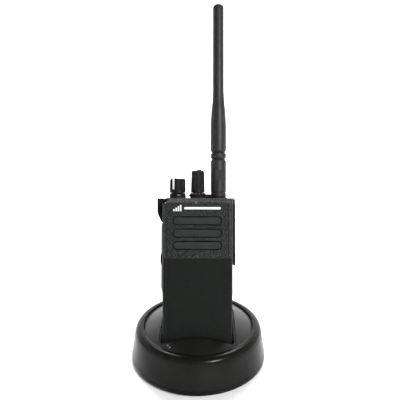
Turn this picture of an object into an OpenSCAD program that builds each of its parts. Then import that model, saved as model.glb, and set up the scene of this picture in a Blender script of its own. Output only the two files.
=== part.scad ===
// Two way radio standing in its round desktop charger, in millimetres.
// The charger stands on z = 0 with its centre on the z axis and the radio's front towards -y.
// The radio's own pieces are drawn on the radio's axes: x right, y to its back, z up the radio
// from its bottom, and in_radio() leans them back into the charger's pocket.

/* [Radio body] */
// Half the width of the chassis above the taper
body_half = 24.2; // [23:0.1:26]
// Half the width of the body where it enters the charger
foot_half = 23.9; // [22:0.1:25]
// Height of the upper front edge above the radio's bottom
front_top = 104.8; // [98:0.1:110]
// Height of the front housing's top, behind its bevel
housing_top = 107.8; // [100:0.1:112]
// Height of the control deck
deck_top = 108.2; // [100:0.1:114]
// Distance from the radio's middle plane to its front face
front_depth = 18; // [15:0.1:20]
// Distance from the middle plane to the back of the battery
back_depth = 19; // [16:0.1:22]
// Height of the step between the speaker panel and the plain lower panel
step_height = 67.3; // [60:0.1:75]

/* [Speaker grille] */
// Width of each grille opening
slot_width = 33.6; // [28:0.1:38]
// Height of each grille opening
slot_height = 6.2; // [4:0.1:8]
// Spacing of the grille openings
slot_pitch = 8.2; // [7:0.1:10]
// Height of the middle opening's centre
slot_middle = 84.3; // [78:0.1:90]
// Gap between a raised pad and the edge of its opening
slot_gap = 1.0; // [0.5:0.1:1.6]

/* [Knobs] */
// Sideways position of the volume knob
volume_x = -14.6; // [-17:0.1:-12]
// Sideways position of the channel knob
channel_x = -0.2; // [-3:0.1:3]
// Front to back position of both knobs
knob_y = 1; // [-2:0.1:4]
// Height of the channel knob's top
channel_top = 128.3; // [120:0.1:134]
// Height of the volume knob's top
volume_top = 122; // [116:0.1:126]
// Number of finger flutes on each knob
flutes = 12; // [10:1:20]

/* [Antenna] */
// Sideways position of the antenna
antenna_x = 14.5; // [12:0.1:17]
// Front to back position of the antenna
antenna_y = 3; // [0:0.1:6]
// Height of the antenna's tip
antenna_tip = 248.6; // [180:0.1:260]
// Radius of the antenna's upper rod
rod_radius = 4; // [3:0.1:5]
// Radius of the antenna's lower sleeve
sleeve_radius = 5.65; // [5:0.05:6.5]

/* [Battery and clip] */
// Height of the battery
battery_top = 96.6; // [80:0.1:100]
// Height of the belt clip's pivot
clip_pivot_z = 86; // [80:0.1:90]
// Front to back position of the belt clip's pivot
clip_pivot_y = 23.8; // [23:0.1:26]

/* [Charger] */
// Outer radius of the charger's base
base_radius = 48.4; // [44:0.1:54]
// Outer radius of the rounded rim
rim_radius = 45.4; // [42:0.1:50]
// Height of the rim's crest
rim_top = 25.6; // [22:0.1:32]
// Radius of the opening inside the rim
rim_opening = 39.3; // [36:0.1:42]
// Height of the domed insert at its edge
dome_edge = 24.3; // [22:0.1:28]
// Radius of the insert's dome
dome_radius = 88; // [70:1:140]
// How far the radio leans back in the charger, in degrees
lean = 16; // [8:0.5:20]

/* [Hidden] */
radio_y = -12.5;
radio_z = 10;
antenna_turns = 18;
pin_xs = [-7, 0, 7];
pin_z = 8;
hinge_x = 25.2;
hinge_z = 107;
bezel_x = 25.1;
pocket_half = 24.7;
mouth_half = 26;
insert_radius = rim_opening - 0.35;
dome_z = dome_edge - sqrt(dome_radius * dome_radius - insert_radius * insert_radius);
light_x = -18.6;
light_y = -30.6;
slot_inner_width = slot_width - 2 * slot_gap;
slot_inner_height = slot_height - 2 * slot_gap * 0.85;
screw_spots = [[-17.5, 6.5], [17.5, 6.5], [-17.5, 64], [17.5, 64]];
base_screw_radius = 37;
$fn = 48;

// ---- shared shapes ----

// Leans the radio's own axes back into the charger.
module in_radio() {
    translate([0, radio_y, radio_z])
        rotate([-lean, 0, 0])
            children();
}

// Extrudes an outline drawn in x and z from y_low to y_high.
module along_y(y_low, y_high) {
    translate([0, y_high, 0])
        rotate([90, 0, 0])
            linear_extrude(y_high - y_low)
                children();
}

// Extrudes an outline drawn in y and z from x_low to x_high.
module along_x(x_low, x_high) {
    translate([x_low, 0, 0])
        rotate([90, 0, 90])
            linear_extrude(x_high - x_low)
                children();
}

// Extrudes an outline drawn in x and y from z_low to z_high.
module along_z(z_low, z_high) {
    translate([0, 0, z_low])
        linear_extrude(z_high - z_low)
            children();
}

// A box from its two opposite corners.
module block(low, high) {
    translate(low)
        cube(high - low);
}

// A rectangle from its two opposite corners with true round corners.
module round_rect(low, high, r) {
    translate(low + [r, 0])
        square([high[0] - low[0] - 2 * r, high[1] - low[1]]);
    translate(low + [0, r])
        square([high[0] - low[0], high[1] - low[1] - 2 * r]);
    for (x = [low[0] + r, high[0] - r])
        for (y = [low[1] + r, high[1] - r])
            translate([x, y])
                circle(r, $fn = 28);
}

// A round bar along y.
module bar_y(r, y_low, y_high, x, z) {
    translate([x, y_high, z])
        rotate([90, 0, 0])
            cylinder(r = r, h = y_high - y_low, $fn = 28);
}

// A round bar along x.
module bar_x(r, x_low, x_high, y, z) {
    translate([x_low, y, z])
        rotate([0, 90, 0])
            cylinder(r = r, h = x_high - x_low, $fn = 28);
}

// A round bar along z.
module bar_z(r, z_low, z_high, x, y) {
    translate([x, y, z_low])
        cylinder(r = r, h = z_high - z_low, $fn = 36);
}

// A row of wire turns standing along z, from low to high.
module wire_turns(mean_radius, wire, turns, low, high) {
    pitch = (high - low - 2 * wire) / (turns - 1);
    rotate_extrude($fn = 28)
        union() {
            for (i = [0 : turns - 1])
                translate([mean_radius, low + wire + i * pitch])
                    circle(wire, $fn = 16);
            translate([mean_radius - wire * 0.3, low + wire])
                square([wire * 0.6, high - low - 2 * wire]);
        }
}

// ---- charger ----

// Outline of the housing's flared wall and rounded rim, right of the axis.
module housing_outline() {
    difference() {
        union() {
            polygon([[rim_opening, 4.9], [base_radius - 0.1, 4.9], [rim_radius + 0.15, rim_top - 4.6],
                [rim_opening, rim_top - 4.6]]);
            intersection() {
                translate([rim_radius - 4.7, rim_top - 4.7])
                    circle(4.7, $fn = 64);
                translate([rim_opening, rim_top - 4.9])
                    square([10, 10]);
            }
            translate([rim_opening, rim_top - 6])
                square([1.3, 5.4]);
        }
        polygon([[rim_opening - 4, 4], [46.3, 4], [43.6, 19], [42.4, 21.4], [rim_opening - 4, 21.4]]);
    }
}

// Charger shell with a flared wall, a rounded rim and three screw posts.
module charger_housing() {
    color([0.16, 0.16, 0.16])
    difference() {
        union() {
            rotate_extrude($fn = 96)
                housing_outline();
            for (a = [30, 150, 270])
                rotate([0, 0, a]) {
                    bar_z(3, 3.4, 17.5, base_screw_radius, 0);
                    block([base_screw_radius, -1.2, 6], [44.6, 1.2, 17.5]);
                }
        }
        for (a = [30, 150, 270])
            rotate([0, 0, a])
                bar_z(1.2, 3, 14, base_screw_radius, 0);
        block([-5, 40, 5.5], [5, 52, 13.4]);
    }
}

// Section of the pocket in y and z, grown outwards by one wall.
module pocket_section(wall, top) {
    polygon([[-17.8 - wall * 1.3, -0.3 - wall], [14.3 + wall * 0.4, -0.3 - wall],
        [19.7 + wall, 5.1 - wall * 0.4], [19.7 + wall, top], [-17.8 - wall * 1.3, top]]);
}

// The pocket's space or its outer body, with rounded upright corners.
module pocket_body(half_width, wall, top, corner) {
    intersection() {
        along_x(-half_width, half_width)
            pocket_section(wall, top);
        along_z(-4, top)
            round_rect([-half_width, -17.8 - wall * 1.3], [half_width, 19.7 + wall], corner);
    }
}

// The ball whose top is the insert's domed surface, smaller by the given depth.
module dome_ball(depth) {
    translate([0, 0, dome_z])
        sphere(dome_radius - depth, $fn = 200);
}

// Domed insert with the leaning pocket that the radio stands in.
module charger_bowl() {
    color([0.22, 0.22, 0.22])
    difference() {
        union() {
            rotate_extrude($fn = 96)
                intersection() {
                    union() {
                        difference() {
                            translate([0, dome_z])
                                circle(dome_radius, $fn = 360);
                            translate([0, dome_z])
                                circle(dome_radius - 1.8, $fn = 360);
                        }
                        translate([insert_radius - 1.8, 18])
                            square([1.8, dome_edge - 18.4]);
                    }
                    translate([0, 18])
                        square([insert_radius, 20]);
                }
            intersection() {
                in_radio()
                    pocket_body(mouth_half + 0.4, 1.8, 50, 4.2);
                dome_ball(0.9);
                cylinder(r = 60, h = 60, $fn = 24);
            }
        }
        in_radio()
            pocket_body(pocket_half, 0, 60, 2.6);
        difference() {
            in_radio()
                pocket_body(mouth_half, 1.1, 60, 3.4);
            dome_ball(1.1);
        }
        in_radio()
            for (x = pin_xs)
                bar_y(1.15, 19, 23, x, pin_z);
        for (side = [-1, 1])
            translate([light_x + side * 0.75, light_y - side * 0.9, 20])
                cylinder(r = 0.55, h = 12, $fn = 24);
    }
}

// Two small status light guides in the insert's front left.
module charger_light() {
    color([0.85, 0.9, 0.85])
    for (side = [-1, 1])
        translate([light_x + side * 0.75, light_y - side * 0.9, 20.4])
            cylinder(r = 0.5, h = 5.4 - side * 0.15, $fn = 24);
}

// Bottom cover with its side ring, screw recesses and vents.
module charger_base() {
    color([0.14, 0.14, 0.14])
    difference() {
        union() {
            rotate_extrude($fn = 96)
                polygon([[0, 0.9], [46.9, 0.9], [base_radius, 2.2], [base_radius, 4.6],
                    [46.3, 4.6], [46.3, 2.6], [0, 2.6]]);
            for (a = [30, 150, 270])
                rotate([0, 0, a])
                    bar_z(3.4, 2.2, 3.2, base_screw_radius, 0);
        }
        rotate_extrude($fn = 96)
            translate([40.9, 0])
                square([4.2, 1.5]);
        for (a = [30, 150, 270])
            rotate([0, 0, a]) {
                bar_z(1.7, 0, 4, base_screw_radius, 0);
                bar_z(2.9, 0, 1.7, base_screw_radius, 0);
            }
        for (x = [-12 : 6 : 12])
            block([x - 1, -31, 0], [x + 1, -21, 4]);
    }
}

// Soft ring that the charger stands on.
module charger_foot_ring() {
    color([0.05, 0.05, 0.05])
    rotate_extrude($fn = 72)
        translate([41, 0])
            square([4, 1.45]);
}

// Circuit board at the back of the charger.
module charger_board() {
    color([0.05, 0.3, 0.16])
    difference() {
        block([-20, 18, 4.2], [20, 33.6, 5.4]);
        bar_z(1.6, 3, 7, -16, 29);
        bar_z(1.6, 3, 7, 16, 22);
    }
}

// Power socket at the back, with a barrel bore and its centre pin.
module charger_jack() {
    color([0.1, 0.1, 0.1]) {
        difference() {
            block([-4.6, 34, 5.8], [4.6, 46.4, 13.1]);
            bar_y(2.85, 37, 50, 0, 9.4);
        }
        bar_y(1, 36, 45.6, 0, 9.4);
    }
}

// Insulating block behind the pocket that guides the three contacts.
module contact_block() {
    color([0.85, 0.84, 0.78])
    in_radio()
        difference() {
            block([-11, 21.8, 5.5], [11, 28.6, 10.7]);
            for (x = pin_xs) {
                bar_y(0.87, 21, 24, x, pin_z);
                bar_y(1.5, 23.4, 27.6, x, pin_z);
            }
        }
}

// Springs that push the three contacts forwards.
module contact_springs() {
    color([0.75, 0.76, 0.78])
    in_radio()
        for (x = pin_xs)
            translate([x, 25.3, pin_z])
                rotate([-90, 0, 0])
                    wire_turns(0.95, 0.2, 5, 0, 2.2);
}

// Spring contacts that meet the battery's pads.
module charge_pins() {
    color([0.9, 0.72, 0.3])
    in_radio()
        for (x = pin_xs) {
            bar_y(0.8, 19.1, 25.1, x, pin_z);
            bar_y(1.25, 24.1, 25.1, x, pin_z);
        }
}

// Three screws that close the charger from below.
module charger_screws() {
    color([0.7, 0.7, 0.72])
    for (a = [30, 150, 270])
        rotate([0, 0, a])
            difference() {
                union() {
                    bar_z(1.15, 1.8, 12, base_screw_radius, 0);
                    bar_z(2.6, 1.0, 1.65, base_screw_radius, 0);
                    bar_z(1.5, 1.6, 3.3, base_screw_radius, 0);
                }
                translate([base_screw_radius, 0, 0.5]) {
                    cube([2.6, 0.6, 1.6], center = true);
                    cube([0.6, 2.6, 1.6], center = true);
                }
            }
}

// ---- radio body ----

// Front outline of the body in x and z, tapering towards the bottom.
module body_outline(inset, top) {
    polygon([[-foot_half + inset, 0.6], [foot_half - inset, 0.6], [foot_half - inset, 37.3],
        [body_half - inset, 43.7], [body_half - inset, top], [-body_half + inset, top],
        [-body_half + inset, 43.7], [-foot_half + inset, 37.3]]);
}

// Centre heights of the three grille openings.
function slot_centre(i) = slot_middle + (i - 1) * slot_pitch;

// Windows in the left side for the push to talk button and the two side buttons.
module side_windows() {
    block([-27, -10.35, 90.9], [-22.3, 3.0, 108.6]);
    block([-27, -8.35, 75.65], [-22.3, 1.35, 86.35]);
    block([-27, -8.35, 59.65], [-22.3, 1.35, 71.75]);
}

// Holes for the screws that join the chassis to the front housing.
module screw_bars(r, y_low, y_high) {
    for (s = screw_spots)
        bar_y(r, y_low, y_high, s[0], s[1]);
}

// Seam around the front panel between two heights, open towards the bottom.
module panel_seam(low, high) {
    intersection() {
        difference() {
            round_rect([-21.2, -10], [21.2, 103.95], 3);
            round_rect([-20.6, -11], [20.6, 103.5], 2.4);
        }
        translate([-30, low])
            square([60, high - low]);
    }
}

// Front half of the case with the grille openings and the plain lower panel.
module front_housing() {
    color([0.12, 0.12, 0.12])
    in_radio()
        difference() {
            union() {
                difference() {
                    intersection() {
                        along_z(0.6, housing_top)
                            polygon([[-21.4, -front_depth], [21.4, -front_depth], [23.4, -15.8],
                                [24.3, -12], [24.3, -4], [-24.3, -4], [-24.3, -12],
                                [-23.4, -15.8]]);
                        along_y(-20, 0)
                            body_outline(0.3, housing_top);
                        along_x(-30, 30)
                            polygon([[-4, 0], [-16.4, 0.6], [-front_depth, 3],
                                [-front_depth, front_top], [-15.2, housing_top],
                                [-4, housing_top]]);
                        along_y(-20, 0)
                            polygon([[-26, 0], [26, 0], [26, 105.6], [22.6, housing_top],
                                [-18.6, housing_top], [-21.8, 104.2], [-26, 104.2]]);
                    }
                    block([-21.4, -16.2, step_height - 1.5], [20.2, 0, 103.4]);
                    block([-21.4, -15.3, 2.4], [20.2, 0, step_height]);
                    block([-22.4, -13, 40], [20.2, 0, 103.4]);
                    block([-17.5, -13.2, 100], [20.2, 0, 106]);
                    block([10, -15.3, 2.4], [21.4, 0, 57.5]);
                }
                screw_bars(2.4, -15.8, -4.3);
            }
            screw_bars(1.05, -12, 0);
            block([-30, -20, -1], [30, -16.6, step_height]);
            for (i = [0 : 2])
                along_y(-20, -15)
                    round_rect([-slot_width / 2, slot_centre(i) - slot_height / 2],
                        [slot_width / 2, slot_centre(i) + slot_height / 2], slot_height / 2 - 0.02);
            along_y(-20, -17.6)
                name_bar_outline(0.1);
            block([-1.25, -20, 104.15], [-0.15, -16.4, 105.75]);
            side_windows();
            block([21.9, -11.7, 61.2], [30, 0, 110]);
            along_y(-20, -17.55)
                panel_seam(step_height, 110);
            along_y(-20, -16.2)
                panel_seam(-1, step_height);
        }
}

// Raised pads that fill the grille openings, on one backing plate with sound slots.
module grille_pads() {
    color([0.13, 0.13, 0.13])
    in_radio()
        union() {
            difference() {
                along_y(-16.0, -15.1)
                    round_rect([-18.6, slot_centre(0) - 5.6], [18.6, slot_centre(2) + 5.6], 2);
                for (i = [0 : 2])
                    for (side = [-1, 1])
                        along_y(-17, -14)
                            translate([0, slot_centre(i) + side * (slot_height / 2 - 0.45)])
                                square([slot_width - 8, 0.6], center = true);
            }
            for (i = [0 : 2])
                along_y(-18.05, -15.9)
                    round_rect([-slot_inner_width / 2, slot_centre(i) - slot_inner_height / 2],
                        [slot_inner_width / 2, slot_centre(i) + slot_inner_height / 2],
                        slot_inner_height / 2 - 0.02);
        }
}

// Woven screen behind the grille.
module speaker_mesh() {
    color([0.3, 0.3, 0.32])
    in_radio()
        along_y(-14.9, -14.6)
            round_rect([-17.5, slot_centre(0) - 4.6], [17.5, slot_centre(2) + 4.6], 2);
}

// Loudspeaker basket.
module speaker_frame() {
    color([0.6, 0.61, 0.62])
    in_radio()
        translate([0, -7.6, slot_middle])
            rotate([90, 0, 0])
                rotate_extrude($fn = 48)
                    polygon([[8.4, 0], [9.6, 0], [9.6, 2.6], [15.4, 4.8], [16.5, 4.8], [16.5, 6.6],
                        [14.6, 6.6], [14.6, 5.9], [8.4, 3.6]]);
}

// Loudspeaker cone with its centre dome.
module speaker_cone() {
    color([0.12, 0.12, 0.13])
    in_radio()
        translate([0, -7.6, slot_middle])
            rotate([90, 0, 0])
                rotate_extrude($fn = 48)
                    polygon([[0, 4.9], [5, 4.3], [12, 5.5], [14.4, 6.1], [14.4, 6.5], [12, 6.0],
                        [5, 4.8], [0, 6.0]]);
}

// Loudspeaker magnet.
module speaker_magnet() {
    color([0.4, 0.4, 0.42])
    in_radio()
        bar_y(8.2, -11, -7.2, 0, slot_middle);
}

// Microphone capsule behind the left side of the grille.
module microphone() {
    color([0.75, 0.75, 0.76])
    in_radio()
        difference() {
            bar_y(1.8, -14.4, -12.2, -19.3, 75.4);
            bar_y(0.5, -15, -14, -19.3, 75.4);
        }
}

// Status light lens in the upper front edge.
module status_lens() {
    color([0.85, 0.86, 0.8])
    in_radio()
        along_x(-1.2, -0.2)
            polygon([[-18.05, 104.2], [-16.5, 104.2], [-16.5, 105.7], [-17.25, 105.7],
                [-18.05, front_top]]);
}

// Outline of the plain pale mark: rising signal bars and one long bar.
module name_bar_outline(grow) {
    for (i = [0 : 3])
        translate([-16.2 + i * 1.5, 98.9])
            square([0.9 + 2 * grow, 1.3 + i * 0.95 + 2 * grow]);
    round_rect([-8.9 - grow, 100.1 - grow], [15.6 + grow, 101.6 + grow], 0.7);
}

// Plain pale mark that stands in for the name plate.
module name_bar() {
    color([0.85, 0.85, 0.85])
    in_radio()
        translate([0.1, 0, 0.1])
            along_y(-18.05, -17.65)
                name_bar_outline(0);
}

// Cast chassis between the front housing and the battery.
module main_chassis() {
    color([0.15, 0.15, 0.15])
    in_radio()
        difference() {
            union() {
                along_y(-3.7, 5)
                    body_outline(0, front_top);
                intersection() {
                    along_x(-body_half, body_half)
                        polygon([[4, 97], [10.5, 97], [13, 99.5], [13, front_top],
                            [4, front_top]]);
                    along_z(90, front_top)
                        round_rect([-body_half, -10], [body_half, 13], 4);
                }
                for (y = [-8.45, 4.8])
                    along_y(y, y + 0.65) {
                        translate([23.6, hinge_z - 0.9])
                            square([hinge_x - 23.6, 1.8]);
                        translate([hinge_x, hinge_z])
                            circle(0.9, $fn = 28);
                    }
                block([22.6, -3.6, 104.2], [24.1, 5.45, hinge_z + 0.9]);
                block([22.6, -8.45, 105.1], [24.1, -3.5, hinge_z + 0.9]);
            }
            block([-22.4, -5, 3], [22.4, 3.2, 95]);
            block([-21.5, -5, 94], [21, 3.2, 110]);
            block([-21, -5, 98.9], [21, 11, 110]);
            screw_bars(1.25, -6, 8);
            screw_bars(2.1, 4, 6);
            block([22, -3.3, 71.6], [26, 2.7, 98.4]);
            bar_x(1.75, 22, 26, -0.6, 66);
            bar_y(0.42, -10, 8, hinge_x, hinge_z);
            bar_z(2.7, 103.6, 108, 7, 9.2);
            block([-8.4, -3.3, -1], [8.4, 4.6, 2.7]);
            block([-4.4, 4, 0], [4.4, 8, 2.1]);
            side_windows();
        }
}

// Seal between the front housing and the chassis.
module body_seal() {
    color([0.5, 0.2, 0.12])
    in_radio()
        difference() {
            along_y(-3.95, -3.75)
                round_rect([-22.2, 1.6], [22.2, 98.8], 2);
            along_y(-5, -3)
                round_rect([-21.5, 2.3], [21.5, 98.1], 1.6);
        }
}

// Main circuit board.
module main_board() {
    color([0.04, 0.28, 0.15])
    in_radio()
        block([-14.8, -1.6, 4], [14.8, -0.4, 96]);
}

// Two pressed shields on the main board.
module shield_cans() {
    color([0.78, 0.79, 0.8])
    in_radio() {
        block([-13.5, -4.6, 10], [-0.6, -1.7, 46]);
        block([0.6, -4.6, 10], [13.5, -1.7, 34]);
    }
}

// Four screws that hold the chassis to the front housing.
module body_screws() {
    color([0.7, 0.7, 0.72])
    in_radio() {
        screw_bars(1, -11, 4.2);
        screw_bars(1.9, 4.1, 4.9);
    }
}

// Control deck with the knob bosses and the antenna seat.
module control_top() {
    color([0.14, 0.14, 0.14])
    in_radio()
        difference() {
            union() {
                intersection() {
                    along_y(-17, 14)
                        polygon([[-body_half, 105.1], [22.2, 105.1], [22.2, 106.8],
                            [20.8, deck_top], [-23.4, deck_top], [-body_half, 107]]);
                    along_x(-30, 30)
                        polygon([[-3.8, 105.1], [13, 105.1], [13, 106.8], [11.6, deck_top],
                            [-3.8, deck_top]]);
                    along_z(100, 112)
                        round_rect([-body_half, -10], [body_half, 13], 4);
                }
                translate([volume_x, knob_y, deck_top - 0.1])
                    rotate_extrude($fn = 48)
                        polygon([[0, 0], [5.9, 0], [5.9, 2.6], [5.3, 3.6], [4.2, 3.6], [4.2, 4.8],
                            [0, 4.8]]);
                translate([channel_x, knob_y, deck_top - 0.1])
                    cylinder(r = 5.6, h = 1.2, $fn = 48);
                translate([antenna_x, antenna_y, deck_top - 0.1])
                    cylinder(r = 6.1, h = 0.75, $fn = 48);
                translate([7, 9.2, deck_top - 0.1])
                    cylinder(r = 3.7, h = 1.2, $fn = 36);
            }
            bar_z(2.06, 100, 120, volume_x, knob_y);
            bar_z(2.06, 100, 120, channel_x, knob_y);
            bar_z(4.0, 100, 120, antenna_x, antenna_y);
            bar_z(2.75, 104, 112, 7, 9.2);
            side_windows();
        }
}

// Fixed ring around the channel knob.
module channel_ring() {
    color([0.13, 0.13, 0.13])
    in_radio()
        translate([channel_x, knob_y, 0])
            rotate_extrude($fn = 56)
                polygon([[2.3, 109.4], [6.3, 109.4], [6.5, 109.8], [6.5, 110.3], [5.2, 111.9],
                    [3.4, 111.9], [3.4, 113.1], [2.3, 113.1]]);
}

// Pale marks on the channel ring and a level arc on the volume boss.
module dial_marks() {
    color([0.9, 0.9, 0.9])
    in_radio() {
        for (i = [0 : 15])
            translate([channel_x, knob_y, 111.1])
                rotate([0, 0, (i + 0.5) * 22.5])
                    translate([0, -5.88, 0])
                        rotate([-39, 0, 0])
                            translate([-0.2, -0.14, -0.35])
                                cube([0.4, 0.12, 0.7]);
        translate([volume_x, knob_y, 110.0])
            difference() {
                cylinder(r = 6.02, h = 0.45, $fn = 48);
                translate([0, 0, -1])
                    cylinder(r = 5.92, h = 3, $fn = 48);
                translate([-8, -5.3, -1])
                    cube([16, 14, 3]);
                translate([-12, -9, -1])
                    cube([12.2, 10, 3]);
                translate([2.2, -9, -1])
                    cube([12, 10, 3]);
            }
    }
}

// Brass bush that takes the antenna's stud.
module antenna_socket() {
    color([0.8, 0.65, 0.35])
    in_radio()
        difference() {
            bar_z(3.95, 99.4, 108.7, antenna_x, antenna_y);
            bar_z(2.6, 100.6, 112, antenna_x, antenna_y);
        }
}

// Moulded antenna cover with its grip sleeve, two grooves and a rounded tip.
module antenna_sheath() {
    color([0.1, 0.1, 0.1])
    in_radio()
        translate([antenna_x, antenna_y, 0])
            difference() {
                rotate_extrude($fn = 48)
                    union() {
                        polygon([[0, 109], [5.2, 109], [sleeve_radius, 109.5],
                            [sleeve_radius, 111.4], [sleeve_radius - 0.3, 111.8],
                            [sleeve_radius - 0.3, 112.3], [sleeve_radius, 112.7],
                            [sleeve_radius, 134.9], [4.65, 136.1], [5.6, 137.3], [5.6, 139.8],
                            [4.65, 140.9], [5.65, 142.1], [5.7, 157.9], [5.55, 164],
                            [5.15, 171], [4.3, 178.5], [rod_radius, 186],
                            [rod_radius, antenna_tip - 3], [0, antenna_tip - 3]]);
                        intersection() {
                            translate([rod_radius - 3, antenna_tip - 3])
                                circle(3, $fn = 36);
                            translate([0, antenna_tip - 4])
                                square([5, 5]);
                        }
                        translate([0, antenna_tip - 4])
                            square([rod_radius - 3, 4]);
                    }
                bar_z(2.6, 108, 119, 0, 0);
                bar_z(2.1, 118, antenna_tip - 14, 0, 0);
                along_y(-6.5, -5.25)
                    shield_outline(0);
                along_y(-6.5, -4.5)
                    shield_outline(0.7);
            }
}

// Stepped recess in the antenna sleeve, a plain shield outline, smaller by the inset.
module shield_outline(inset) {
    polygon([[-2.6 + inset, 127.6 - inset], [0, 128.5 - inset], [2.6 - inset, 127.6 - inset],
        [2.6 - inset, 122.6 + inset * 0.4], [0, 119.6 + inset * 1.3],
        [-2.6 + inset, 122.6 + inset * 0.4]]);
}

// Helical element inside the antenna.
module antenna_coil() {
    color([0.75, 0.55, 0.35])
    in_radio()
        translate([antenna_x, antenna_y, 0])
            wire_turns(1.5, 0.45, antenna_turns, 122, antenna_tip - 16);
}

// Threaded stud at the foot of the antenna.
module antenna_stud() {
    color([0.8, 0.66, 0.36])
    in_radio()
        union() {
            bar_z(2.5, 101, 118.4, antenna_x, antenna_y);
            bar_z(1.0, 118.3, 121.6, antenna_x, antenna_y);
        }
}

// Volume control and switch under the deck.
module volume_pot() {
    color([0.35, 0.37, 0.4])
    in_radio()
        difference() {
            block([volume_x - 4.4, knob_y - 4.4, 99.4], [volume_x + 4.4, knob_y + 4.4, 104.6]);
            bar_z(2.06, 100.4, 108, volume_x, knob_y);
        }
}

// Channel selector switch under the deck.
module channel_switch() {
    color([0.35, 0.37, 0.4])
    in_radio()
        difference() {
            bar_z(5.2, 99.4, 104.6, channel_x, knob_y);
            bar_z(2.06, 100.4, 108, channel_x, knob_y);
        }
}

// Sealing membrane behind the side buttons.
module key_membrane() {
    color([0.08, 0.08, 0.08])
    in_radio()
        along_x(-21.2, -20.4)
            round_rect([-11, 55.5], [3, 97.6], 1.5);
}

// Raised rubber strip around the two side buttons.
module side_bezel() {
    color([0.1, 0.1, 0.1])
    in_radio()
        difference() {
            intersection() {
                along_x(-bezel_x, -body_half - 0.03)
                    round_rect([-9.6, 42.4], [2.6, 90.3], 1.6);
                along_y(-12, 4)
                    polygon([[-body_half, 42.4], [-body_half, 92], [-bezel_x, 92],
                        [-bezel_x, 46.6]]);
            }
            side_windows();
        }
}

// Accessory socket plate in the right side.
module accessory_socket() {
    color([0.1, 0.1, 0.1])
    in_radio()
        difference() {
            along_x(22.7, 24.15)
                round_rect([-3.2, 71.7], [2.6, 98.3], 1.2);
            for (i = [0 : 6])
                for (y = [-1.7, 1.1])
                    bar_x(0.8, 23.5, 26, y, 75.4 + i * 3.2);
        }
}

// Plated contacts of the accessory socket.
module accessory_contacts() {
    color([0.9, 0.74, 0.35])
    in_radio()
        for (i = [0 : 6])
            for (y = [-1.7, 1.1])
                bar_x(0.7, 23.52, 24.1, y, 75.4 + i * 3.2);
}

// Hinge pin of the dust cover.
module cover_pin() {
    color([0.7, 0.7, 0.72])
    in_radio()
        bar_y(0.4, -8.4, 5.4, hinge_x, hinge_z);
}

// ---- battery and belt clip ----

// Battery case, open towards the chassis.
module battery_case() {
    color([0.13, 0.13, 0.13])
    in_radio()
        difference() {
            intersection() {
                along_y(5.3, back_depth)
                    polygon([[-foot_half, 0], [foot_half, 0], [foot_half, 37.3],
                        [body_half, 43.7], [body_half, battery_top], [-body_half, battery_top],
                        [-body_half, 43.7], [-foot_half, 37.3]]);
                along_z(0, battery_top)
                    round_rect([-body_half, -5], [body_half, back_depth], 4.5);
                along_x(-30, 30)
                    polygon([[5, 0], [14, 0], [back_depth, 5], [back_depth, 90.5],
                        [12.5, battery_top], [5, battery_top]]);
            }
            block([-22.4, 5, 2.3], [22.4, 16.4, 94]);
            block([-4.4, 5, 0.5], [4.4, 7.2, 1.8]);
            for (x = pin_xs)
                block([x - 1.7, 18.4, 5.7], [x + 1.7, 20, 10.3]);
            for (z = [20 : 6 : 68])
                block([-15, 18.55, z], [15, 20, z + 1.4]);
        }
}

// Front cover of the battery.
module battery_cover() {
    color([0.16, 0.16, 0.16])
    in_radio()
        along_y(5.4, 6.8)
            round_rect([-22.2, 2.5], [22.2, 93.8], 1);
}

// Two prismatic cells.
module battery_cells() {
    color([0.25, 0.42, 0.62])
    in_radio()
        for (side = [-1, 1])
            along_z(6, 88)
                translate([side * 10.8, 11.6])
                    round_rect([-10, -4.5], [10, 4.5], 2.4);
}

// Charging pads in the battery's back.
module charge_pads() {
    color([0.9, 0.72, 0.3])
    in_radio()
        for (x = pin_xs)
            block([x - 1.6, 18.45, 5.8], [x + 1.6, back_depth, 10.2]);
}

// Bracket on the battery's back that carries the belt clip's pin.
module clip_bracket() {
    color([0.14, 0.14, 0.14])
    in_radio()
        difference() {
            union() {
                along_y(19.1, 20.6)
                    round_rect([-11.6, 75], [11.6, 90.3], 1.5);
                for (x = [-11.6, 9.8])
                    along_x(x, x + 1.8) {
                        translate([20, 84.2])
                            square([3.8, 3.6]);
                        translate([clip_pivot_y, clip_pivot_z])
                            circle(1.8, $fn = 28);
                    }
            }
            bar_x(1.22, -13, 13, clip_pivot_y, clip_pivot_z);
        }
}

// Pivot pin of the belt clip.
module clip_pin() {
    color([0.72, 0.72, 0.74])
    in_radio()
        bar_x(1.2, -11.5, 11.5, clip_pivot_y, clip_pivot_z);
}

// Sprung belt clip with a gripping nose at its lower end.
module belt_clip() {
    color([0.12, 0.12, 0.12])
    in_radio()
        difference() {
            union() {
                along_y(26, 28)
                    round_rect([-9.4, 40], [9.4, 95.5], 3);
                along_x(-9.4, 9.4) {
                    translate([21.4, 43])
                        circle(1.6, $fn = 28);
                    translate([21.4, 41.4])
                        square([4.8, 3.2]);
                }
                for (x = [-9.4, 4])
                    along_x(x, x + 5.4) {
                        translate([clip_pivot_y, clip_pivot_z])
                            circle(2.4, $fn = 28);
                        translate([clip_pivot_y, clip_pivot_z - 2.2])
                            square([3, 4.4]);
                    }
            }
            bar_x(1.26, -13, 13, clip_pivot_y, clip_pivot_z);
            for (z = [48 : 4 : 60])
                block([-6.5, 27.4, z], [6.5, 29, z + 1.6]);
        }
}

// Coil spring around the belt clip's pin.
module clip_spring() {
    color([0.7, 0.71, 0.73])
    in_radio()
        translate([-3.6, clip_pivot_y, clip_pivot_z])
            rotate([0, 90, 0])
                wire_turns(1.65, 0.3, 8, 0, 7.2);
}

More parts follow.
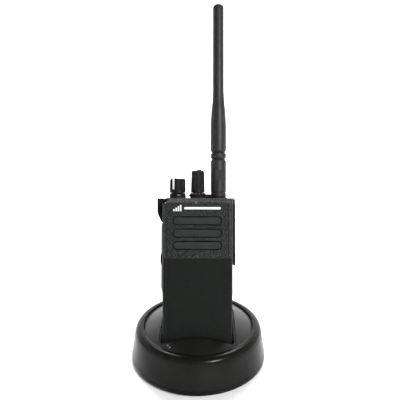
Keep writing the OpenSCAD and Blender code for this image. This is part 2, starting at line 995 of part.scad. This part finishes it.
// Latch that holds the battery at the bottom.
module battery_latch() {
    color([0.2, 0.2, 0.2])
    in_radio()
        difference() {
            union() {
                block([-8, -1, 0.3], [8, 4.2, 2.4]);
                block([-4, 4.1, 0.8], [4, 6.4, 1.6]);
            }
            for (y = [-0.2 : 1.2 : 2.4])
                block([-6, y, 0], [6, y + 0.6, 0.7]);
        }
}

// Springs behind the battery latch.
module latch_spring() {
    color([0.72, 0.72, 0.74])
    in_radio()
        for (x = [-5, 5])
            translate([x, -3.15, 1.5])
                rotate([-90, 0, 0])
                    wire_turns(0.65, 0.18, 4, 0, 2.0);
}

// ---- controls ----

// A fluted, slightly tapered knob with a bore for its shaft and a recess around its boss.
module fluted_knob(low, high, r_low, r_high, flute, recess) {
    difference() {
        union() {
            translate([0, 0, low])
                cylinder(r1 = r_low, r2 = r_high, h = high - low - 0.7, $fn = 48);
            translate([0, 0, high - 0.7])
                cylinder(r1 = r_high, r2 = r_high - 0.6, h = 0.7, $fn = 48);
        }
        for (i = [0 : flutes - 1])
            rotate([0, 0, (i + 0.5) * 360 / flutes])
                translate([r_low + flute * 0.45, 0, low + 1.4])
                    cylinder(r = flute, h = high, $fn = 20);
        translate([0, 0, low - 1])
            cylinder(r = 2.05, h = 9, $fn = 36);
        translate([0, 0, low - 1])
            cylinder(r = recess, h = 2.2, $fn = 36);
    }
}

// Volume knob.
module volume_knob() {
    color([0.1, 0.1, 0.1])
    in_radio()
        translate([volume_x, knob_y, 0])
            difference() {
                union() {
                    fluted_knob(112, volume_top, 5.8, 5.6, 1.15, 4.5);
                    translate([-1.6, 0, volume_top - 0.1])
                        cylinder(r = 1, h = 0.5, $fn = 24);
                }
                rotate([0, 0, -28])
                    block([-0.65, -6.2, 114.2], [0.65, -5.15, volume_top + 1]);
            }
}

// Pale index stripe let into the volume knob.
module volume_index() {
    color([0.92, 0.92, 0.92])
    in_radio()
        translate([volume_x, knob_y, 0])
            rotate([0, 0, -28])
                block([-0.6, -5.85, 114.3], [0.6, -5.2, volume_top - 0.3]);
}

// Shaft of the volume control.
module volume_shaft() {
    color([0.75, 0.76, 0.78])
    in_radio()
        bar_z(2, 100.8, 119.8, volume_x, knob_y);
}

// Channel knob with a raised pointer.
module channel_knob() {
    color([0.1, 0.1, 0.1])
    in_radio()
        translate([channel_x, knob_y, 0])
            union() {
                fluted_knob(112.2, channel_top - 0.6, 5.05, 4.65, 0.85, 3.6);
                rotate([0, 0, 28])
                    block([-0.6, -4.3, channel_top - 0.7], [0.6, 0.5, channel_top]);
            }
}

// Shaft of the channel selector.
module channel_shaft() {
    color([0.75, 0.76, 0.78])
    in_radio()
        bar_z(2, 100.8, 120, channel_x, knob_y);
}

// Emergency button on the deck.
module emergency_button() {
    color([0.85, 0.3, 0.08])
    in_radio()
        union() {
            bar_z(2.4, 105.4, 110.9, 7, 9.2);
            translate([7, 9.2, 110.8])
                cylinder(r1 = 2.4, r2 = 1.7, h = 0.5, $fn = 36);
            bar_z(1.2, 102.6, 105.6, 7, 9.2);
        }
}

// Push to talk button with grip ridges.
module ptt_button() {
    color([0.09, 0.09, 0.09])
    in_radio()
        difference() {
            intersection() {
                along_y(-10, 2.6)
                    polygon([[-23.9, 91.3], [-24.9, 91.3], [-25.9, 93.4], [-27.6, 97.2],
                        [-28.1, 99.2], [-28.1, 107], [-27.4, 107.8], [-23.9, 107.8]]);
                along_z(88, 110)
                    round_rect([-28.1, -10], [-20, 2.6], 1.8);
            }
            for (i = [0 : 2])
                along_y(-8, 1)
                    translate([-28.1, 100.4 + i * 1.9])
                        circle(0.4, $fn = 20);
        }
}

// Upper side button.
module side_button_upper() {
    color([0.09, 0.09, 0.09])
    in_radio()
        intersection() {
            along_x(-25.3, -23.9)
                round_rect([-8, 76], [1, 86], 2);
            along_z(70, 90)
                polygon([[-20, -8], [-24.8, -8], [-25.3, -6.5], [-25.3, -0.5], [-24.8, 1], [-20, 1]]);
        }
}

// Lower side button, slightly proud of the case.
module side_button_lower() {
    color([0.09, 0.09, 0.09])
    in_radio()
        intersection() {
            along_x(-25.9, -23.9)
                round_rect([-8, 60], [1, 71.4], 2);
            along_y(-9, 2)
                polygon([[-20, 60], [-24.8, 60], [-25.9, 63.6], [-25.9, 67.8], [-24.8, 71.4],
                    [-20, 71.4]]);
        }
}

// Dust cover over the accessory socket, hinged at its top.
module dust_cover() {
    color([0.12, 0.12, 0.12])
    in_radio()
        difference() {
            union() {
                along_x(24.5, 25.85)
                    round_rect([-11.3, 61.6], [4.5, 104.6], 2);
                block([22.3, -11.3, 63.6], [25, -8.8, 104.4]);
                block([24.5, -7.5, 103], [25.85, 4.5, hinge_z]);
                bar_y(0.9, -7.5, 4.5, hinge_x, hinge_z);
            }
            bar_y(0.45, -9, 6, hinge_x, hinge_z);
            bar_x(3.4, 25.15, 28, -0.6, 66);
            bar_x(1.5, 24, 28, -0.6, 66);
            along_x(24, 24.9)
                round_rect([-4.4, 71], [3.4, 99], 1);
            for (z = [74 : 5 : 94])
                block([25.55, -4.5, z], [26.5, 3, z + 1.2]);
        }
}

// Thumb screw that holds the dust cover.
module cover_screw() {
    color([0.2, 0.2, 0.2])
    in_radio()
        difference() {
            union() {
                bar_x(3.1, 25.45, 26.5, -0.6, 66);
                bar_x(1.15, 22.6, 25.5, -0.6, 66);
            }
            block([26, -4, 65.5], [28, 3, 66.5]);
        }
}

charger_housing();
charger_bowl();
charger_base();
charger_foot_ring();
charger_board();
charger_jack();
charger_light();
contact_block();
contact_springs();
charger_screws();
charge_pins();
front_housing();
grille_pads();
speaker_mesh();
speaker_frame();
speaker_cone();
speaker_magnet();
microphone();
status_lens();
name_bar();
main_chassis();
body_seal();
main_board();
shield_cans();
control_top();
channel_ring();
dial_marks();
antenna_socket();
antenna_sheath();
antenna_coil();
antenna_stud();
volume_pot();
channel_switch();
key_membrane();
side_bezel();
accessory_socket();
accessory_contacts();
cover_pin();
battery_case();
battery_cover();
battery_cells();
charge_pads();
clip_bracket();
clip_pin();
body_screws();
volume_knob();
volume_index();
volume_shaft();
channel_knob();
channel_shaft();
emergency_button();
ptt_button();
side_button_upper();
side_button_lower();
dust_cover();
cover_screw();
belt_clip();
clip_spring();
battery_latch();
latch_spring();
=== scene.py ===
import math

import bmesh
import bpy
from mathutils import Matrix, Vector


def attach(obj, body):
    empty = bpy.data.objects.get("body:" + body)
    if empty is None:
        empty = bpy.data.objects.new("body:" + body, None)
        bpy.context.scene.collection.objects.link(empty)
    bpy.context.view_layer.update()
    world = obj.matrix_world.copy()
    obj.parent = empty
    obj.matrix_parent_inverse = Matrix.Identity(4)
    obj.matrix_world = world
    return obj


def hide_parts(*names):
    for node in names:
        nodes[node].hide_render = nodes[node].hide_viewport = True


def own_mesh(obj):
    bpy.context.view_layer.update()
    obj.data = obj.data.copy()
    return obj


# The radio's place in the charger: its lean, and its origin in metres.
LEAN = math.radians(16)
RADIO_Y = -0.0125
RADIO_Z = 0.010

# Places on the radio's own axes, in millimetres.
FRONT_Y = -18
STEP_Z = 67.3
CLIP_Y = 23.8
CLIP_Z = 86.0

# Each push spring's two ends along the radio's y axis, in millimetres.
CONTACT_SPRING = (25.3, 27.5)
LATCH_SPRING = (-3.15, -1.15)

# How finely a turn of wire, the floor's bend and the wall are divided.
SPRING_STEPS = 18
BEND_STEPS = 12
WALL_STEPS = 96

# The studio, in metres.
WALL_BACK = 1.3
WALL_FRONT = 2.6
WALL_TOP = 1.6
FLOOR_BEND = 0.5

# The camera: its place in metres, its angles and its focal length in millimetres.
CAMERA_AT = (0.0083, -0.2721, 0.1899)
CAMERA_DOWN = math.radians(14.96)
CAMERA_TURN = math.radians(1.37)
CAMERA_ROLL = math.radians(-0.34)
CAMERA_LENS = 37.8

# Colours of rubbed edges, lightened both as wear and as a painted highlight, of painted shade in
# grooves and of the front moulding's dark grain.
WORN_AND_HIGHLIT = (0.045, 0.047, 0.045)
PAINTED_GROOVE_SHADE = (0.0006, 0.0007, 0.0006)
FRONT_DARK = (0.0015, 0.0024, 0.0018)

# How far rubbed edges with their painted highlight, painted shade in grooves and the change of grain at
# the step reach, in metres.
EDGE_REACH = 0.0004
GROOVE_REACH = 0.0015
STEP_BLEND = 0.0004

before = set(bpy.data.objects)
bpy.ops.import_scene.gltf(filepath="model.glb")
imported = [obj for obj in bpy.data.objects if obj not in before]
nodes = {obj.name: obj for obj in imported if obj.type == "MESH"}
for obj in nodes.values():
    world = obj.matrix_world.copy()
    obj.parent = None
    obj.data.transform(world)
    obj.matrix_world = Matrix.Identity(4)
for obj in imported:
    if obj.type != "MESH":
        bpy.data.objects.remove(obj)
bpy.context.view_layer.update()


def in_radio(x, y, z):
    """A point given in millimetres on the radio's own axes, in metres in the frame."""
    return Vector((
        x / 1000,
        RADIO_Y + (y * math.cos(LEAN) + z * math.sin(LEAN)) / 1000,
        RADIO_Z + (z * math.cos(LEAN) - y * math.sin(LEAN)) / 1000,
    ))


# ---- materials ----

class Shader:
    """A node material built up in a few calls."""

    def __init__(self, name, **inputs):
        self.mat = bpy.data.materials.new(name)
        self.mat.use_nodes = True
        self.tree = self.mat.node_tree
        self.bsdf = self.tree.nodes["Principled BSDF"]
        self.coords = self.tree.nodes.new("ShaderNodeTexCoord")
        for key, value in inputs.items():
            self.bsdf.inputs[key.replace("_", " ")].default_value = value

    def link(self, a, b):
        self.tree.links.new(a, b)

    def noise(self, scale, detail=3.0, rough=0.6, stretch=(1, 1, 1)):
        mapping = self.tree.nodes.new("ShaderNodeMapping")
        mapping.inputs["Scale"].default_value = stretch
        self.link(self.coords.outputs["Object"], mapping.inputs["Vector"])
        noise = self.tree.nodes.new("ShaderNodeTexNoise")
        noise.inputs["Scale"].default_value = scale
        noise.inputs["Detail"].default_value = detail
        noise.inputs["Roughness"].default_value = rough
        self.link(mapping.outputs["Vector"], noise.inputs["Vector"])
        return noise.outputs["Fac"]

    def ramp(self, value, low, high, a, b):
        node = self.tree.nodes.new("ShaderNodeMapRange")
        node.inputs["From Min"].default_value = low
        node.inputs["From Max"].default_value = high
        node.inputs["To Min"].default_value = a
        node.inputs["To Max"].default_value = b
        self.link(value, node.inputs["Value"])
        return node.outputs["Result"]

    def mix(self, value, a, b):
        """Mixes two colours; each is a plain colour or another node's output."""
        node = self.tree.nodes.new("ShaderNodeMix")
        node.data_type = "RGBA"
        self.link(value, node.inputs["Factor"])
        colours_in = [socket for socket in node.inputs if socket.type == "RGBA"]
        for socket, colour in zip(colours_in, (a, b)):
            if isinstance(colour, bpy.types.NodeSocket):
                self.link(colour, socket)
            else:
                socket.default_value = (*colour, 1)
        return next(socket for socket in node.outputs if socket.type == "RGBA")

    def math(self, operation, a, b):
        node = self.tree.nodes.new("ShaderNodeMath")
        node.operation = operation
        for socket, value in zip(node.inputs, (a, b)):
            if isinstance(value, bpy.types.NodeSocket):
                self.link(value, socket)
            else:
                socket.default_value = value
        return node.outputs["Value"]

    def rubbed_and_highlit_edges(self, radius):
        """Near 1 on sharp outer edges, broken up by noise, and 0 elsewhere: where edges are lightened
        as wear and as a painted highlight.
        """
        bevel = self.tree.nodes.new("ShaderNodeBevel")
        bevel.samples = 4
        bevel.inputs["Radius"].default_value = radius
        geometry = self.tree.nodes.new("ShaderNodeNewGeometry")
        dot = self.tree.nodes.new("ShaderNodeVectorMath")
        dot.operation = "DOT_PRODUCT"
        self.link(bevel.outputs["Normal"], dot.inputs[0])
        self.link(geometry.outputs["Normal"], dot.inputs[1])
        edge = self.ramp(dot.outputs["Value"], 0.995, 0.90, 0.0, 1.0)
        broken = self.ramp(self.noise(420, 4, 0.7), 0.38, 0.62, 0.15, 0.8)
        return self.math("MULTIPLY", edge, broken)

    def shaded_in_grooves(self, colour, reach):
        """The colour with painted shade: darkened in narrow grooves and inner corners, where shade
        falls.
        """
        hollow = self.tree.nodes.new("ShaderNodeAmbientOcclusion")
        hollow.samples = 6
        hollow.inputs["Distance"].default_value = reach
        return self.mix(self.ramp(hollow.outputs["AO"], 0.35, 0.85, 0, 1), PAINTED_GROOVE_SHADE, colour)

    def bump(self, value, strength, distance):
        node = self.tree.nodes.new("ShaderNodeBump")
        node.inputs["Strength"].default_value = strength
        node.inputs["Distance"].default_value = distance
        self.link(value, node.inputs["Height"])
        last = self.bsdf.inputs["Normal"]
        if last.is_linked:
            self.link(last.links[0].from_socket, node.inputs["Normal"])
        self.link(node.outputs["Normal"], last)


def moulded(name, dark, light, rough, grain, depth, specular=0.5, speckle=60, worn_and_highlit=None, uneven=0.055,
             reach=0):
    """Moulded plastic or rubber: mottled tone, uneven gloss and a fine grain; if asked, edges lightened
    as wear and as a painted highlight, and painted shade in grooves.
    """
    s = Shader(name, IOR=1.48, Specular_IOR_Level=specular)
    tone = s.noise(speckle, 4, 0.6)
    colour = s.mix(s.ramp(tone, 0.35, 0.65, 0, 1), dark, light)
    # Edges lightened as wear and as a painted highlight.
    if worn_and_highlit:
        colour = s.mix(s.rubbed_and_highlit_edges(EDGE_REACH), colour, worn_and_highlit)
    # Painted shade darkens the grooves.
    if reach:
        colour = s.shaded_in_grooves(colour, reach)
    s.link(colour, s.bsdf.inputs["Base Color"])
    gloss = s.ramp(s.noise(140, 5, 0.7), 0.3, 0.7, rough - uneven, rough + uneven)
    s.link(gloss, s.bsdf.inputs["Roughness"])
    s.bump(s.noise(grain, 2, 0.5), 0.6, depth)
    return s.mat


def metal(name, dark, light, rough):
    """Plated or turned metal with fine tool marks."""
    s = Shader(name, Metallic=1.0)
    lines = s.noise(900, 3, 0.6, stretch=(1, 1, 12))
    s.link(s.mix(s.ramp(lines, 0.3, 0.7, 0, 1), dark, light), s.bsdf.inputs["Base Color"])
    s.link(s.ramp(lines, 0.3, 0.7, rough - 0.06, rough + 0.08), s.bsdf.inputs["Roughness"])
    s.bump(lines, 0.3, 0.00002)
    return s.mat


def translucent(name, colour, rough):
    """Cloudy clear plastic that lets some light through."""
    s = Shader(name, IOR=1.49, Transmission_Weight=0.35)
    cloud = s.noise(300, 3, 0.6)
    shade = tuple(c * 0.85 for c in colour)
    s.link(s.mix(cloud, shade, colour), s.bsdf.inputs["Base Color"])
    s.link(s.ramp(cloud, 0.3, 0.7, rough, rough + 0.1), s.bsdf.inputs["Roughness"])
    return s.mat


def front_grain():
    """The front moulding: a coarse grain around the speaker and a fine, darker one below the step."""
    s = Shader("front_grain", IOR=1.48, Specular_IOR_Level=0.12)
    along = s.tree.nodes.new("ShaderNodeVectorMath")
    along.operation = "DOT_PRODUCT"
    along.inputs[1].default_value = (0, math.sin(LEAN), math.cos(LEAN))
    s.link(s.coords.outputs["Object"], along.inputs[0])
    step = in_radio(0, FRONT_Y, STEP_Z)
    height = step.y * math.sin(LEAN) + step.z * math.cos(LEAN)
    upper = s.ramp(along.outputs["Value"], height - STEP_BLEND, height + STEP_BLEND, 0, 1)
    fine = s.ramp(s.noise(900, 4, 0.6), 0.35, 0.65, 0, 1)
    coarse = s.ramp(s.noise(1250, 2, 0.5), 0.42, 0.60, 0, 1)
    low = s.mix(fine, FRONT_DARK, (0.0042, 0.0058, 0.0045))
    high = s.mix(coarse, FRONT_DARK, (0.0260, 0.0292, 0.0268))
    # Sharp edges lightened as wear and as a painted highlight.
    colour = s.mix(s.rubbed_and_highlit_edges(EDGE_REACH), s.mix(upper, low, high), WORN_AND_HIGHLIT)
    # Painted shade darkens the grooves of the front moulding.
    s.link(s.shaded_in_grooves(colour, GROOVE_REACH), s.bsdf.inputs["Base Color"])
    s.link(s.ramp(s.noise(140, 5, 0.7), 0.3, 0.7, 0.43, 0.54), s.bsdf.inputs["Roughness"])
    s.bump(s.math("MULTIPLY", coarse, upper), 0.8, 0.00010)
    s.bump(s.noise(2600, 2, 0.5), 0.6, 0.00004)
    return s.mat


FRONT = front_grain()
# The case's edges are lightened as wear and as a painted highlight.
CASE = moulded("case_grain", dark=(0.0035, 0.0043, 0.0037), light=(0.0110, 0.0125, 0.0114), rough=0.48,
               grain=1300, depth=0.00009, specular=0.12, speckle=900, worn_and_highlit=WORN_AND_HIGHLIT)
PANEL = moulded("panel_satin", dark=(0.007, 0.008, 0.007), light=(0.012, 0.013, 0.012), rough=0.45,
                grain=3600, depth=0.00003, specular=0.25, speckle=700)
# The grille's grooves are darkened with painted shade.
GRILLE = moulded("grille_satin", dark=(0.010, 0.0118, 0.0108), light=(0.0175, 0.0195, 0.0180),
                 rough=0.40, grain=2600, depth=0.00003, specular=0.20, speckle=800, reach=GROOVE_REACH)
SHELL = moulded("charger_shell_satin", dark=(0.0045, 0.0045, 0.004), light=(0.008, 0.008, 0.0072),
                rough=0.21, grain=3400, depth=0.00002, specular=0.09, uneven=0.02)
DISH = moulded("charger_dish_satin", dark=(0.006, 0.006, 0.0055), light=(0.010, 0.010, 0.009),
               rough=0.34, grain=3400, depth=0.00002, specular=0.22)
KNOB = moulded("knob_rubbery", dark=(0.0035, 0.0042, 0.0036), light=(0.0080, 0.0090, 0.0082),
               rough=0.42, grain=2200, depth=0.00003, specular=0.14, speckle=500)
BUTTON = moulded("button_rubber", dark=(0.0025, 0.0032, 0.0027), light=(0.0060, 0.0068, 0.0062),
                 rough=0.60, grain=2200, depth=0.00005, specular=0.07, speckle=700)
ANTENNA = moulded("antenna_rubber", dark=(0.009, 0.0095, 0.009), light=(0.016, 0.017, 0.016),
                  rough=0.46, grain=1800, depth=0.00004, specular=0.25, speckle=700)
FOOT = moulded("foot_rubber", dark=(0.010, 0.010, 0.010), light=(0.018, 0.018, 0.018), rough=0.75,
               grain=2000, depth=0.00006)
PALE = moulded("pale_ink", dark=(0.62, 0.63, 0.62), light=(0.75, 0.75, 0.74), rough=0.45, grain=2600,
               depth=0.00001)
RED = moulded("red_moulding", dark=(0.26, 0.030, 0.014), light=(0.36, 0.045, 0.020), rough=0.5,
              grain=2600, depth=0.00002, specular=0.3)
BOARD = moulded("solder_mask", dark=(0.006, 0.06, 0.025), light=(0.012, 0.11, 0.05), rough=0.35,
                grain=900, depth=0.00003)
CREAM = moulded("cream_moulding", dark=(0.45, 0.44, 0.38), light=(0.58, 0.56, 0.50), rough=0.45,
                grain=1800, depth=0.00002)
SEAL = moulded("seal_rubber", dark=(0.006, 0.006, 0.006), light=(0.012, 0.012, 0.012), rough=0.7,
               grain=1500, depth=0.00004)
CONE = moulded("cone_paper", dark=(0.012, 0.012, 0.013), light=(0.03, 0.03, 0.032), rough=0.8,
               grain=1200, depth=0.00005)
WRAP = moulded("cell_wrap", dark=(0.010, 0.012, 0.016), light=(0.020, 0.024, 0.030), rough=0.4,
               grain=500, depth=0.00004)
MESH = moulded("woven_screen", dark=(0.006, 0.006, 0.006), light=(0.02, 0.02, 0.02), rough=0.8,
               grain=4200, depth=0.0001)
STEEL = metal("plated_steel", dark=(0.42, 0.43, 0.45), light=(0.62, 0.63, 0.65), rough=0.3)
TIN = metal("tinned_steel", dark=(0.45, 0.46, 0.47), light=(0.66, 0.67, 0.68), rough=0.36)
GOLD = metal("gold_plate", dark=(0.62, 0.42, 0.12), light=(0.85, 0.62, 0.25), rough=0.24)
BRASS = metal("turned_brass", dark=(0.45, 0.32, 0.12), light=(0.66, 0.50, 0.22), rough=0.3)
LENS = translucent("lens_smoke", colour=(0.16, 0.17, 0.15), rough=0.15)
DIM_INK = moulded("dim_ink", dark=(0.20, 0.205, 0.20), light=(0.30, 0.30, 0.29), rough=0.5, grain=2600,
                  depth=0.00001)
LIGHT = translucent("light_guide", colour=(0.50, 0.52, 0.49), rough=0.2)

NODE_MATERIAL = {
    "charger_housing": SHELL, "charger_bowl": DISH, "charger_base": SHELL, "charger_foot_ring": FOOT,
    "charger_board": BOARD, "charger_jack": KNOB, "charger_light": LIGHT, "contact_block": CREAM,
    "contact_springs": STEEL, "charger_screws": STEEL, "charge_pins": GOLD, "front_housing": FRONT,
    "grille_pads": GRILLE, "speaker_mesh": MESH, "speaker_frame": TIN, "speaker_cone": CONE,
    "speaker_magnet": STEEL, "microphone": TIN, "status_lens": LENS, "name_bar": PALE,
    "main_chassis": CASE, "body_seal": SEAL, "main_board": BOARD, "shield_cans": TIN,
    "control_top": CASE, "channel_ring": KNOB, "dial_marks": DIM_INK, "antenna_socket": BRASS,
    "antenna_sheath": ANTENNA, "antenna_coil": STEEL, "antenna_stud": BRASS, "volume_pot": TIN,
    "channel_switch": TIN, "key_membrane": FOOT, "side_bezel": BUTTON, "accessory_socket": KNOB,
    "accessory_contacts": GOLD, "cover_pin": STEEL, "battery_case": CASE, "battery_cover": PANEL,
    "battery_cells": WRAP, "charge_pads": GOLD, "clip_bracket": CASE, "clip_pin": STEEL,
    "body_screws": STEEL, "volume_knob": KNOB, "volume_index": PALE, "volume_shaft": STEEL,
    "channel_knob": KNOB, "channel_shaft": STEEL, "emergency_button": RED, "ptt_button": BUTTON,
    "side_button_upper": BUTTON, "side_button_lower": BUTTON, "dust_cover": CASE,
    "cover_screw": KNOB, "belt_clip": CASE, "clip_spring": STEEL, "battery_latch": KNOB,
    "latch_spring": STEEL,
}


def dress(obj, material):
    """Gives an object one material and smooth faces."""
    obj.data.materials.clear()
    obj.data.materials.append(material)
    for face in obj.data.polygons:
        face.use_smooth = True


def soften(obj, width):
    """Rounds the hard edges a little, as on a moulding."""
    bevel = obj.modifiers.new("edge_round", "BEVEL")
    bevel.width = width
    bevel.segments = 2
    bevel.limit_method = "ANGLE"
    bevel.angle_limit = math.radians(32)
    bevel.harden_normals = True


for name, material in NODE_MATERIAL.items():
    dress(nodes[name], material)

SOFT_NODES = {
    "front_housing": 0.0005, "main_chassis": 0.0004, "battery_case": 0.0005, "control_top": 0.0004,
    "grille_pads": 0.0003, "ptt_button": 0.0004, "side_button_upper": 0.0003,
    "side_button_lower": 0.0003, "dust_cover": 0.0003, "belt_clip": 0.0004, "clip_bracket": 0.0003,
    "charger_bowl": 0.0004, "charger_housing": 0.0002, "charger_base": 0.0003,
    "channel_knob": 0.00015, "volume_knob": 0.00015, "channel_ring": 0.0001,
    "antenna_sheath": 0.0002, "side_bezel": 0.0003, "battery_latch": 0.0002, "cover_screw": 0.0002,
}
for name, width in SOFT_NODES.items():
    soften(nodes[name], width)


# ---- springs ----

def add_wire(mesh, path, radius, sides=10):
    """Adds a closed round wire along a path of points."""
    rings = []
    side = None
    for k, point in enumerate(path):
        ahead = (path[min(k + 1, len(path) - 1)] - path[max(k - 1, 0)]).normalized()
        if side is None:
            side = ahead.orthogonal().normalized()
        side = (side - ahead * side.dot(ahead)).normalized()
        up = ahead.cross(side)
        ring = []
        for i in range(sides):
            a = 2 * math.pi * i / sides
            ring.append(mesh.verts.new(point + radius * (math.cos(a) * side + math.sin(a) * up)))
        rings.append(ring)
    for a, b in zip(rings, rings[1:]):
        for i in range(sides):
            j = (i + 1) % sides
            mesh.faces.new((a[i], a[j], b[j], b[i]))
    mesh.faces.new(list(reversed(rings[0])))
    mesh.faces.new(rings[-1])


def wires(name, paths, radius, material):
    """One piece of one or more round wires."""
    mesh = bmesh.new()
    for path in paths:
        add_wire(mesh, path, radius)
    data = bpy.data.meshes.new(name)
    mesh.to_mesh(data)
    mesh.free()
    obj = bpy.data.objects.new(name, data)
    bpy.context.scene.collection.objects.link(obj)
    dress(obj, material)
    return obj


def clip_spring():
    """Torsion spring around the belt clip's pin, with a leg against the clip and one on the bracket."""
    turns = 8
    mean = 1.65
    half = 3.1
    last = turns * SPRING_STEPS + SPRING_STEPS // 2
    path = [in_radio(-half, CLIP_Y + mean, CLIP_Z - drop) for drop in (5.5, 4.0, 2.5, 1.2)]
    for k in range(last + 1):
        a = 2 * math.pi * k / SPRING_STEPS
        x = -half + 2 * half * k / last
        path.append(in_radio(x, CLIP_Y + mean * math.cos(a), CLIP_Z + mean * math.sin(a)))
    path += [in_radio(half, CLIP_Y - mean, CLIP_Z - drop) for drop in (1.2, 2.4, 3.6)]
    spring = wires("clip_spring_wire", [path], 0.00030, STEEL)
    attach(spring, "belt_clip")
    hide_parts("clip_spring")


def push_spring(name, node, body, centres, span, mean, radius, turns):
    """Helical springs along the radio's y axis, carried by a body in place of the model's spring node.
    """
    low, high = span
    last = turns * SPRING_STEPS
    paths = []
    for x, z in centres:
        path = []
        for k in range(last + 1):
            a = 2 * math.pi * k / SPRING_STEPS
            y = low + radius + (high - low - 2 * radius) * k / last
            path.append(in_radio(x + mean * math.cos(a), y, z + mean * math.sin(a)))
        paths.append(path)
    spring = wires(name, paths, radius / 1000, STEEL)
    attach(spring, body)
    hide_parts(node)
    x, z = centres[0]
    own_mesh(spring)


clip_spring()
push_spring("contact_spring_wires", "contact_springs", "charger", [(-7, 8), (0, 8), (7, 8)],
            CONTACT_SPRING, mean=0.95, radius=0.2, turns=4)
push_spring("latch_spring_wires", "latch_spring", "radio", [(-5, 1.5), (5, 1.5)],
            LATCH_SPRING, mean=0.65, radius=0.18, turns=3)


# ---- studio ----

def studio_sweep():
    """Pale floor that curves up into a pale wall all the way round."""
    profile = [(-FLOOR_BEND, 0.0)]
    for i in range(1, BEND_STEPS + 1):
        a = math.pi / 2 * i / BEND_STEPS
        profile.append((FLOOR_BEND * math.sin(a) - FLOOR_BEND, FLOOR_BEND - FLOOR_BEND * math.cos(a)))
    profile.append((0.0, WALL_TOP))
    verts = [(0, 0, 0)]
    faces = []
    for k in range(WALL_STEPS):
        a = 2 * math.pi * k / WALL_STEPS
        reach = WALL_BACK + (WALL_FRONT - WALL_BACK) * (1 - math.cos(a)) / 2
        for out, up in profile:
            verts.append(((reach + out) * math.sin(a), (reach + out) * math.cos(a), up))
    rings = len(profile)
    for k in range(WALL_STEPS):
        here = 1 + k * rings
        after = 1 + (k + 1) % WALL_STEPS * rings
        faces.append((0, after, here))
        for i in range(rings - 1):
            faces.append((here + i, after + i, after + i + 1, here + i + 1))
    mesh = bpy.data.meshes.new("studio_sweep")
    mesh.from_pydata(verts, [], faces)
    sweep = bpy.data.objects.new("studio_sweep", mesh)
    bpy.context.scene.collection.objects.link(sweep)
    s = Shader("studio_paper", Roughness=0.9)
    s.link(s.mix(s.noise(3, 2), (0.90, 0.90, 0.90), (0.93, 0.93, 0.93)), s.bsdf.inputs["Base Color"])
    dress(sweep, s.mat)


def soft_light(name, at, target, size, power):
    """A rectangular light turned towards a target."""
    data = bpy.data.lights.new(name, "AREA")
    data.shape = "RECTANGLE"
    data.size, data.size_y = size
    data.energy = power
    lamp = bpy.data.objects.new(name, data)
    bpy.context.scene.collection.objects.link(lamp)
    lamp.location = at
    lamp.rotation_euler = (Vector(target) - Vector(at)).to_track_quat("-Z", "Y").to_euler()


def studio():
    """Sweep, dim sky and three soft lights."""
    studio_sweep()
    world = bpy.data.worlds.new("studio_dim")
    bpy.context.scene.world = world
    world.use_nodes = True
    world.node_tree.nodes["Background"].inputs["Color"].default_value = (0.93, 1.0, 0.96, 1)
    world.node_tree.nodes["Background"].inputs["Strength"].default_value = 0.06
    soft_light("wall_wash", at=(0, 0.3, 0.9), target=(0, 1.3, 0.75), size=(2.4, 0.3), power=20)
    soft_light("back_top", at=(0, 0.75, 1.25), target=(0, 0, 0), size=(1.0, 0.3), power=33)
    soft_light("front_key", at=(0.40, -0.69, 0.62), target=(0, 0, 0.02), size=(0.22, 0.03), power=10)
    bpy.context.scene.view_settings.view_transform = "Standard"


def camera():
    """The camera at the viewing angle that the constants give."""
    data = bpy.data.cameras.new("camera")
    data.lens = CAMERA_LENS
    data.sensor_width = 36
    data.clip_start = 0.01
    cam = bpy.data.objects.new("camera", data)
    bpy.context.scene.collection.objects.link(cam)
    cam.location = CAMERA_AT
    level = Matrix.Rotation(CAMERA_TURN, 4, "Z") @ Matrix.Rotation(math.pi / 2 - CAMERA_DOWN, 4, "X")
    cam.rotation_euler = (level @ Matrix.Rotation(CAMERA_ROLL, 4, "Z")).to_euler()
    bpy.context.scene.camera = cam


studio()
camera()
